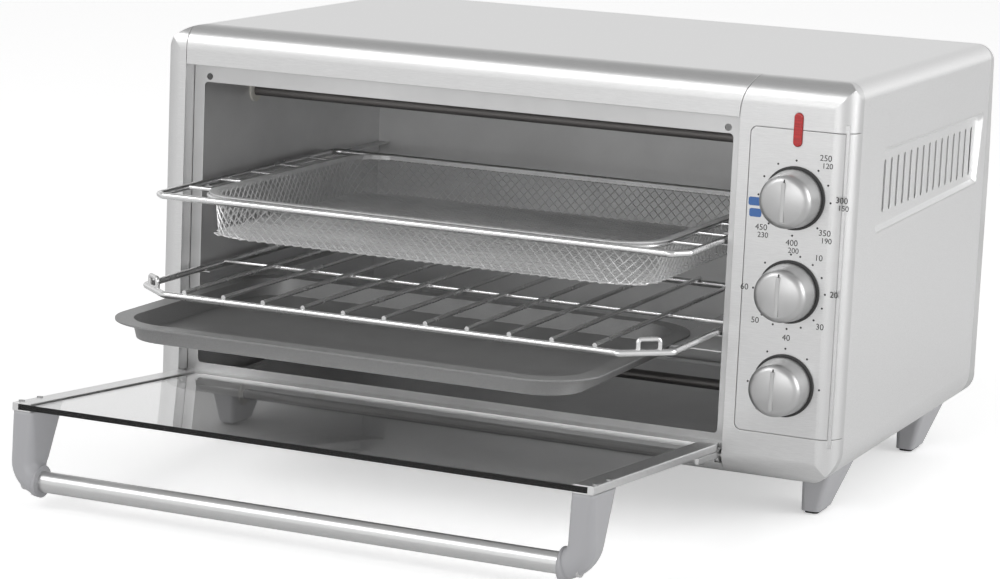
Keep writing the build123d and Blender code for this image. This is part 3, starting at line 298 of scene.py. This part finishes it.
NODE_FINISHES = {
    "outer": ["outer_wrap", "side_vent_grille"],
    "front": ["left_end_cap", "top_trim", "bottom_trim", "control_housing"],
    "fascia": ["control_fascia"],
    "rear": ["rear_cover"],
    "cavity": ["cavity_left_wall", "cavity_right_wall", "cavity_roof", "cavity_back",
               "shelf_runners_left", "shelf_runners_right", "fan_shroud"],
    "jamb": ["door_jamb"],
    "hidden": ["bottom_plate", "control_carrier", "tray_runners", "timer_mechanism"],
    "tray": ["crumb_tray", "convection_fan"],
    "chrome": ["wire_rack", "basket_frame"],
    "bar": ["handle_bar"],
    "rail": ["door_rail_left", "door_rail_right", "hinge_arm_left", "hinge_arm_right"],
    "bracket": ["handle_bracket_left", "handle_bracket_right"],
    "foot": ["feet"],
    "dark": ["dial_rings", "cord_gland", "thermostat", "function_switch"],
    "rubber": ["foot_pads"],
    "ceramic": ["heater_insulators"],
    "sheath": ["upper_heaters", "lower_heaters"],
    "motor": ["fan_motor"],
    "screw": ["rear_screws", "hinge_pins", "door_screws", "temperature_shaft",
              "timer_shaft", "function_shaft"],
    "glass": ["door_glass"],
    "lamp": ["indicator_lamp"],
    "pan": ["baking_pan"],
}


def dress(thing, material):
    thing.data.materials.clear()
    thing.data.materials.append(material)


for key, names in NODE_FINISHES.items():
    for node_name in names:
        dress(nodes[node_name], MATERIALS[key])
for dial, centre in DIAL_CENTRES.items():
    knob_finish = spun(f"{dial}_knob_spun", 0.56, 0.38, tuple(centre))
    dress(nodes[f"{dial}_knob"], knob_finish)


# Pieces


def add_mesh(name, make, body, material):
    """A new mesh piece filled by a bmesh function."""
    mesh = bpy.data.meshes.new(name)
    work = bmesh.new()
    make(work)
    work.to_mesh(mesh)
    work.free()
    piece = bpy.data.objects.new(name, mesh)
    bpy.context.scene.collection.objects.link(piece)
    dress(piece, material)
    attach(piece, body)
    return piece


def apply_modifiers(piece):
    """Keeps the modified mesh and drops the modifiers."""
    depsgraph = bpy.context.evaluated_depsgraph_get()
    mesh = bpy.data.meshes.new_from_object(piece.evaluated_get(depsgraph))
    piece.modifiers.clear()
    piece.data = mesh


# The fry basket's expanded mesh

MESH_PITCH = 7.5 * MM
MESH_STRAND = 1.1 * MM
BASKET_RIM = 4.9 * MM
BASKET_TAPER = math.tan(math.radians(6.0))
BASKET_CORNER = 32.0 * MM
BASKET_DEPTH = 30.0 * MM
LIP_TO_MESH = 1.2 * MM
WALL_LAP = 0.5 * MM
RIM_SHEET = 0.9 * MM
RIM_SKIRT = 3.4 * MM
RIM_INNER_LAP = 0.4 * MM
RING_POINTS = 160


def rounded_point(distance, half_x, half_y, radius):
    """A point at a distance along a rounded rectangle about its middle."""
    straight_x, straight_y = 2 * (half_x - radius), 2 * (half_y - radius)
    arc = math.pi * radius / 2
    runs = (straight_x, arc, straight_y, arc, straight_x, arc, straight_y, arc)
    corners = ((1, -1), (1, 1), (-1, 1), (-1, -1))
    index = 0
    while index < 7 and distance > runs[index]:
        distance -= runs[index]
        index += 1
    side = index // 2
    corner_x, corner_y = corners[side]
    centre = Vector((corner_x * (half_x - radius), corner_y * (half_y - radius), 0))
    heading = side * math.pi / 2
    outward = Vector((math.sin(heading), -math.cos(heading), 0))
    along = Vector((math.cos(heading), math.sin(heading), 0))
    if index % 2 == 0:
        return centre + outward * radius - along * (runs[index] - distance)
    turn = distance / radius
    return centre + outward * radius * math.cos(turn) + along * radius * math.sin(turn)


def perimeter(half_x, half_y, radius):
    return 4 * (half_x + half_y - 2 * radius) + 2 * math.pi * radius


def basket_section(depth):
    """Half sizes and corner radius of the basket at a depth below its lip."""
    middle_half_x = (BASKET_HIGH.x - BASKET_LOW.x) / 2 - BASKET_RIM
    middle_half_y = (BASKET_HIGH.y - BASKET_LOW.y) / 2 - BASKET_RIM
    shrink = depth * BASKET_TAPER + WALL_LAP
    return middle_half_x - shrink, middle_half_y - shrink, BASKET_CORNER - shrink


def basket_mesh(work):
    """Diamonds on the four walls and on the floor."""
    centre = (BASKET_LOW + BASKET_HIGH) / 2
    top = BASKET_HIGH.z - LIP_TO_MESH
    half = MESH_PITCH / 2
    rows = 2 * round(BASKET_DEPTH / MESH_PITCH)
    around = 2 * round(perimeter(*basket_section(0)) / MESH_PITCH)
    points = {}

    def wall_point(column, row):
        key = (column % around, row)
        if key not in points:
            depth = BASKET_DEPTH * row / rows
            section = basket_section(depth)
            spot = rounded_point(key[0] / around * perimeter(*section), *section)
            points[key] = work.verts.new((centre.x + spot.x, centre.y + spot.y, top - depth))
        return points[key]

    for row in range(rows + 1):
        for column in range(around):
            if (row + column) % 2 == 0:
                continue
            if row in (0, rows):
                step = 1 if row == 0 else -1
                corners = ((column - 1, row), (column, row + step), (column + 1, row))
            else:
                corners = ((column - 1, row), (column, row + 1), (column + 1, row),
                           (column, row - 1))
            work.faces.new([wall_point(*corner) for corner in corners])
    half_x, half_y, radius = basket_section(BASKET_DEPTH)
    floor_points = {}

    def inside(x, y):
        reach_x, reach_y = max(0, abs(x) - half_x + radius), max(0, abs(y) - half_y + radius)
        return math.hypot(reach_x, reach_y) <= radius + half * 0.3

    def floor_point(column, row):
        if (column, row) not in floor_points:
            spot = (centre.x + column * half, centre.y + row * half, top - BASKET_DEPTH)
            floor_points[(column, row)] = work.verts.new(spot)
        return floor_points[(column, row)]

    columns, lines = int(half_x / half) + 1, int(half_y / half) + 1
    for column in range(-columns, columns + 1):
        for row in range(-lines, lines + 1):
            if (column + row) % 2 and inside(column * half, row * half):
                corners = ((column - 1, row), (column, row - 1), (column + 1, row),
                           (column, row + 1))
                work.faces.new([floor_point(*corner) for corner in corners])


def ring_strip(work, centre, outer, inner, low, high):
    """A flat closed band between two rounded rectangles."""
    loops = []
    for section in (outer, inner):
        for height in (low, high):
            loop = []
            for index in range(RING_POINTS):
                spot = rounded_point(index / RING_POINTS * perimeter(*section), *section)
                loop.append(work.verts.new((centre.x + spot.x, centre.y + spot.y, height)))
            loops.append(loop)
    outer_low, outer_high, inner_low, inner_high = loops
    for first, second in ((outer_low, outer_high), (outer_high, inner_high),
                          (inner_high, inner_low), (inner_low, outer_low)):
        for index in range(RING_POINTS):
            following = (index + 1) % RING_POINTS
            work.faces.new((first[index], first[following], second[following], second[index]))


def basket_rim(work):
    """The folded rim that hangs on the frame's inner wire, with its turned edge."""
    centre = (BASKET_LOW + BASKET_HIGH) / 2
    half_x, half_y, radius = basket_section(0)
    outer = (half_x + BASKET_RIM, half_y + BASKET_RIM, radius + BASKET_RIM)
    inner = (half_x - RIM_INNER_LAP, half_y - RIM_INNER_LAP, radius - RIM_INNER_LAP)
    top = BASKET_HIGH.z
    ring_strip(work, centre, outer, inner, top - RIM_SHEET, top)
    band = (half_x + WALL_LAP, half_y + WALL_LAP, radius + WALL_LAP)
    ring_strip(work, centre, band, inner, top - RIM_SKIRT, top - RIM_SHEET)


mesh_finish = chrome("basket_mesh_steel", 0.88, 0.34, 0.6)
basket = add_mesh("fry_basket_mesh", basket_mesh, "basket", mesh_finish)
strands = basket.modifiers.new("strands", "WIREFRAME")
strands.thickness = MESH_STRAND
strands.use_even_offset = False
strands.use_boundary = True
apply_modifiers(basket)
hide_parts("fry_basket")
add_mesh("fry_basket_rim", basket_rim, "basket", mesh_finish)

# The handle's bent brackets

DOOR_TILT = math.radians(4.3)
OUTWARD = Vector((0, -math.sin(DOOR_TILT), -math.cos(DOOR_TILT)))
ALONG_DOOR = Vector((0, -math.cos(DOOR_TILT), math.sin(DOOR_TILT)))
BRACKET_STANDOFF = 49.0 * MM
BRACKET_BEND = 14.0 * MM
BRACKET_STEPS = 24
FOOT_HALF_WIDTH = 8.0 * MM
FOOT_HALF_LENGTH = 21.0 * MM
FOOT_CORNER = 3.0 * MM
FOOT_OFFSET = -11.0 * MM
COLLAR_HALF = 10.5 * MM
RING_HALF = 11.4 * MM
RING_SHARE = 0.94
RING_STEP = 0.001
NEARLY_ROUND = 0.99
SECTION_POINTS = 64


def bracket_place(share):
    """How far inwards and outwards the bend has come, and its turn."""
    straight = BRACKET_STANDOFF - BRACKET_BEND
    run = share * (straight + BRACKET_BEND * math.pi / 2)
    if run < straight:
        return 0.0, run, 0.0
    turn = (run - straight) / BRACKET_BEND
    return BRACKET_BEND * (1 - math.cos(turn)), straight + BRACKET_BEND * math.sin(turn), turn


def bracket_section(share):
    """Half width, half length and corner radius, from the foot to the round collar."""
    if share > RING_SHARE:
        return RING_HALF, RING_HALF, RING_HALF * NEARLY_ROUND
    blend = min(1.0, share / RING_SHARE)
    half_width = FOOT_HALF_WIDTH + (COLLAR_HALF - FOOT_HALF_WIDTH) * blend
    half_length = FOOT_HALF_LENGTH + (COLLAR_HALF - FOOT_HALF_LENGTH) * blend
    corner = FOOT_CORNER + (COLLAR_HALF * NEARLY_ROUND - FOOT_CORNER) * blend
    return half_width, half_length, corner


def bent_bracket(outer_x, inward):
    """A loft from a foot on the door's rail round to the bar."""
    bar_low, bar_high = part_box("handle_bar")
    bar = (bar_low + bar_high) / 2
    start_x = outer_x + inward * FOOT_HALF_WIDTH
    shares = [index / BRACKET_STEPS for index in range(BRACKET_STEPS + 1)]
    shares = sorted(shares + [RING_SHARE, RING_SHARE + RING_STEP])

    def make(work):
        loops = []
        for share in shares:
            across, out, turn = bracket_place(share)
            section = bracket_section(share)
            shift = FOOT_OFFSET * (1 - share)
            loop = []
            for index in range(SECTION_POINTS):
                spot = rounded_point(index / SECTION_POINTS * perimeter(*section), *section)
                x = start_x + inward * (across + spot.x * math.cos(turn))
                reach = out - spot.x * math.sin(turn) - BRACKET_STANDOFF
                place = OUTWARD * reach + ALONG_DOOR * (shift + spot.y)
                loop.append(work.verts.new((x, bar.y + place.y, bar.z + place.z)))
            loops.append(loop)
        for first, second in zip(loops, loops[1:]):
            for index in range(SECTION_POINTS):
                following = (index + 1) % SECTION_POINTS
                side = work.faces.new((first[index], first[following],
                                       second[following], second[index]))
                side.smooth = True
        work.faces.new(loops[0])
        work.faces.new(loops[-1])
        bmesh.ops.recalc_face_normals(work, faces=work.faces[:])
    return make


for side, corner, inward in (("left", 0, 1), ("right", 1, -1)):
    outer_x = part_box(f"handle_bracket_{side}")[corner].x
    bracket = add_mesh(f"bent_bracket_{side}", bent_bracket(outer_x, inward), "door",
                       MATERIALS["bracket"])
    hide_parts(f"handle_bracket_{side}")

# Printed marks round the dials

PRINT = plastic("print_black", grey(0.03), 0.5, 0.0)
PRINT_BLUE = plastic("print_blue", (0.06, 0.16, 0.42), 0.5, 0.0)
PRINT_DEPTH = 0.12 * MM
PRINT_Y = FRONT_Y - 0.03 * MM


def printed_text(name, words, x, z, size):
    """A printed number, its middle at x and z on the fascia."""
    curve = bpy.data.curves.new(name, "FONT")
    curve.body = words
    curve.size = size
    curve.align_x = "CENTER"
    curve.align_y = "CENTER"
    curve.extrude = PRINT_DEPTH / 2
    piece = bpy.data.objects.new(name, curve)
    bpy.context.scene.collection.objects.link(piece)
    piece.location = (x, PRINT_Y, z)
    piece.rotation_euler = (math.pi / 2, 0, 0)
    dress(piece, PRINT)
    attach(piece, "oven_body")


def around_dial(centre, degrees, radius):
    """A place round a dial, in degrees clockwise from the top."""
    turn = math.radians(degrees)
    return centre.x + radius * math.sin(turn), centre.z + radius * math.cos(turn)


def printed_dots(name, spots, radius):
    """Small printed discs at several places."""
    def make(work):
        for x, z in spots:
            place = Matrix.Translation((x, PRINT_Y, z)) @ Matrix.Rotation(math.pi / 2, 4, "X")
            bmesh.ops.create_cone(
                work, cap_ends=True, segments=16, radius1=radius, radius2=radius,
                depth=PRINT_DEPTH, matrix=place)
    add_mesh(name, make, "oven_body", PRINT)


NUMBER_SIZE = 6.0 * MM
SMALL_NUMBER_SIZE = 5.4 * MM
DOT_RADIUS = 0.75 * MM
DOT_REACH = 26.5 * MM
SINGLE_REACH = 33.0 * MM
PAIR_REACH = 34.5 * MM
PAIR_LIFT = 2.7 * MM
LOWER_SHIFT = 1.5 * MM
SCALES = {
    "temperature": [(38, "250", "120"), (92, "300", "150"), (137, "350", "190"),
                    (180, "400", "200"), (222, "450", "230")],
    "timer": [(38, "10", ""), (88, "20", ""), (133, "30", ""), (180, "40", ""),
              (226, "50", ""), (270, "60", "")],
    "function": [],
}
EXTRA_DOTS = {
    "temperature": [330, 300, 270, 0, 65],
    "timer": [0, 315, 15, 62, 110, 157, 203],
    "function": [330, 0, 38, 90, 225, 270],
}

for dial, centre in DIAL_CENTRES.items():
    spots = []
    for degrees, upper, lower in SCALES[dial]:
        reach = PAIR_REACH if lower else SINGLE_REACH
        x, z = around_dial(centre, degrees, reach)
        lift = PAIR_LIFT if lower else 0.0
        printed_text(f"{dial}_number_{upper}", upper, x, z + lift, NUMBER_SIZE)
        if lower:
            printed_text(f"{dial}_number_{lower}", lower, x + LOWER_SHIFT, z - lift,
                         SMALL_NUMBER_SIZE)
        spots.append(around_dial(centre, degrees, DOT_REACH))
    spots += [around_dial(centre, degrees, DOT_REACH) for degrees in EXTRA_DOTS[dial]]
    printed_dots(f"{dial}_dots", spots, DOT_RADIUS)


PATCH_WIDTH = 9.0 * MM
PATCH_HEIGHT = 6.0 * MM
PATCH_CORNER = 1.5 * MM
PATCH_POINTS = 40
PATCHES = {"upper": (-29 * MM, -5 * MM), "lower": (-28 * MM, -13 * MM)}


def printed_patch(name, x, z):
    """A blank blue block with round corners."""
    def make(work):
        section = (PATCH_WIDTH / 2, PATCH_HEIGHT / 2, PATCH_CORNER)
        loops = []
        for y in (PRINT_Y - PRINT_DEPTH / 2, PRINT_Y + PRINT_DEPTH / 2):
            loop = []
            for index in range(PATCH_POINTS):
                spot = rounded_point(index / PATCH_POINTS * perimeter(*section), *section)
                loop.append(work.verts.new((x + spot.x, y, z + spot.y)))
            loops.append(loop)
            work.faces.new(loop)
        for index in range(PATCH_POINTS):
            following = (index + 1) % PATCH_POINTS
            work.faces.new((loops[0][index], loops[0][following],
                            loops[1][following], loops[1][index]))
    add_mesh(name, make, "oven_body", PRINT_BLUE)


temperature = DIAL_CENTRES["temperature"]
for place, (across, above) in PATCHES.items():
    printed_patch(f"blue_patch_{place}", temperature.x + across, temperature.z + above)

# The sheet that shows between the side vent's slots

BAFFLE_GAP = 2.2 * MM
BAFFLE_SHEET = 0.8 * MM
BAFFLE_INSET = 15.0 * MM


def vent_baffle(work):
    low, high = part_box("side_vent_grille")
    middle = (low + high) / 2
    size = (BAFFLE_SHEET, high.y - low.y - 2 * BAFFLE_INSET, high.z - low.z - BAFFLE_INSET)
    spot = Matrix.Translation((low.x - BAFFLE_GAP, middle.y, middle.z))
    bmesh.ops.create_cube(work, size=1.0, matrix=spot @ Matrix.Diagonal((*size, 1.0)))


baffle_finish = plain_metal("vent_baffle_sheet", 0.80, 0.45)
add_mesh("vent_baffle", vent_baffle, "oven_body", baffle_finish)

# Pointer lines on the knobs

POINTER_START = 10.5 * MM
POINTER_END = 16.0 * MM
POINTER_RADIUS = 0.45 * MM
POINTER_START_DEPTH = 0.75 * MM
POINTER_END_DEPTH = 1.9 * MM


def pointer(dial):
    """A dark line let into the knob's face, from near its middle up to its edge."""
    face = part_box(f"{dial}_knob")[0].y
    middle = DIAL_CENTRES[dial]
    start_x, start_z = around_dial(middle, 0, POINTER_START)
    end_x, end_z = around_dial(middle, 0, POINTER_END)
    curve = bpy.data.curves.new(f"{dial}_pointer", "CURVE")
    curve.dimensions = "3D"
    curve.bevel_depth = POINTER_RADIUS
    curve.use_fill_caps = True
    line = curve.splines.new("POLY")
    line.points.add(1)
    line.points[0].co = (start_x, face + POINTER_START_DEPTH, start_z, 1)
    line.points[1].co = (end_x, face + POINTER_END_DEPTH, end_z, 1)
    piece = bpy.data.objects.new(f"{dial}_pointer", curve)
    bpy.context.scene.collection.objects.link(piece)
    dress(piece, MATERIALS["dark"])
    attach(piece, f"{dial}_dial")


for dial in DIAL_CENTRES:
    pointer(dial)


# Stage

SENSOR_WIDTH = 36.0
FLOOR_SIZE = 14.0
FLOOR_DROP = 0.5 * MM
FLOOR_GLOW = 0.45
HORIZON = 0.94
ZENITH = 0.42


def camera():
    """The photograph's camera."""
    data = bpy.data.cameras.new("camera")
    data.lens = CAMERA_LENS
    data.sensor_width = SENSOR_WIDTH
    data.clip_end = 50.0
    thing = bpy.data.objects.new("camera", data)
    turn = (Matrix.Rotation(math.radians(CAMERA_YAW), 3, "Z")
            @ Matrix.Rotation(math.radians(CAMERA_PITCH), 3, "X")
            @ Matrix.Rotation(math.radians(CAMERA_ROLL), 3, "Y"))
    right, forward, up = turn.col[0], turn.col[1], turn.col[2]
    axes = Matrix((right, up, -forward)).transposed().to_4x4()
    spot = Vector((CAMERA_X, FRONT_Y - CAMERA_BEFORE_FRONT, CAMERA_HEIGHT))
    thing.matrix_world = Matrix.Translation(spot) @ axes
    bpy.context.scene.collection.objects.link(thing)
    bpy.context.scene.camera = thing


def floor():
    """A pale floor that keeps the oven's shadow and looks white to the camera."""
    bpy.ops.mesh.primitive_plane_add(size=FLOOR_SIZE, location=(0, 0, -FLOOR_DROP))
    plane = bpy.context.object
    plane.name = "floor"
    finish = Finish("floor_pale", (0.86, 0.86, 0.86), 0.0, 0.9)
    path = finish.node("ShaderNodeLightPath")
    glow = finish.node("ShaderNodeEmission")
    add = finish.node("ShaderNodeAddShader")
    level = finish.node("ShaderNodeMath", operation="MULTIPLY")
    level.inputs[1].default_value = FLOOR_GLOW
    finish.link(path.outputs["Is Camera Ray"], level.inputs[0])
    finish.link(level.outputs["Value"], glow.inputs["Strength"])
    finish.link(finish.shader.outputs["BSDF"], add.inputs[0])
    finish.link(glow.outputs["Emission"], add.inputs[1])
    finish.link(add.outputs["Shader"], finish.tree.nodes["Material Output"].inputs["Surface"])
    dress(plane, finish.material)


def world():
    """White to the camera, and a soft studio that greys towards the top."""
    sky = bpy.data.worlds.new("studio")
    bpy.context.scene.world = sky
    sky.use_nodes = True
    tree = sky.node_tree
    background = tree.nodes["Background"]
    place = tree.nodes.new("ShaderNodeTexCoord")
    split = tree.nodes.new("ShaderNodeSeparateXYZ")
    ramp = tree.nodes.new("ShaderNodeValToRGB")
    path = tree.nodes.new("ShaderNodeLightPath")
    mix = tree.nodes.new("ShaderNodeMix")
    mix.data_type = "RGBA"
    ramp.color_ramp.elements[0].position = 0.15
    ramp.color_ramp.elements[0].color = (*grey(HORIZON), 1)
    ramp.color_ramp.elements[1].position = 0.75
    ramp.color_ramp.elements[1].color = (*grey(ZENITH), 1)
    tree.links.new(place.outputs["Generated"], split.inputs["Vector"])
    tree.links.new(split.outputs["Z"], ramp.inputs["Fac"])
    tree.links.new(path.outputs["Is Camera Ray"], mix.inputs["Factor"])
    tree.links.new(ramp.outputs["Color"], mix.inputs["A"])
    mix.inputs["B"].default_value = (1, 1, 1, 1)
    tree.links.new(mix.outputs["Result"], background.inputs["Color"])


def softbox(name, place, target, size, power):
    """A large rectangular lamp aimed at a point."""
    lamp = bpy.data.lights.new(name, "AREA")
    lamp.shape = "RECTANGLE"
    lamp.size, lamp.size_y = size
    lamp.energy = power
    thing = bpy.data.objects.new(name, lamp)
    thing.location = place
    aim = (Vector(target) - Vector(place)).to_track_quat("-Z", "Y")
    thing.rotation_euler = aim.to_euler()
    bpy.context.scene.collection.objects.link(thing)


camera()
floor()
world()
softbox("key", (-1.6, -2.2, 2.4), (0, 0, 0.15), (1.8, 1.2), 26)
softbox("right_side", (2.6, 0.4, 1.0), (0.2, 0.1, 0.15), (1.6, 1.4), 22)
softbox("front_fill", (0.4, -2.8, 0.7), (0, 0, 0.15), (1.8, 0.8), 9)
bpy.context.scene.view_settings.view_transform = "Standard"
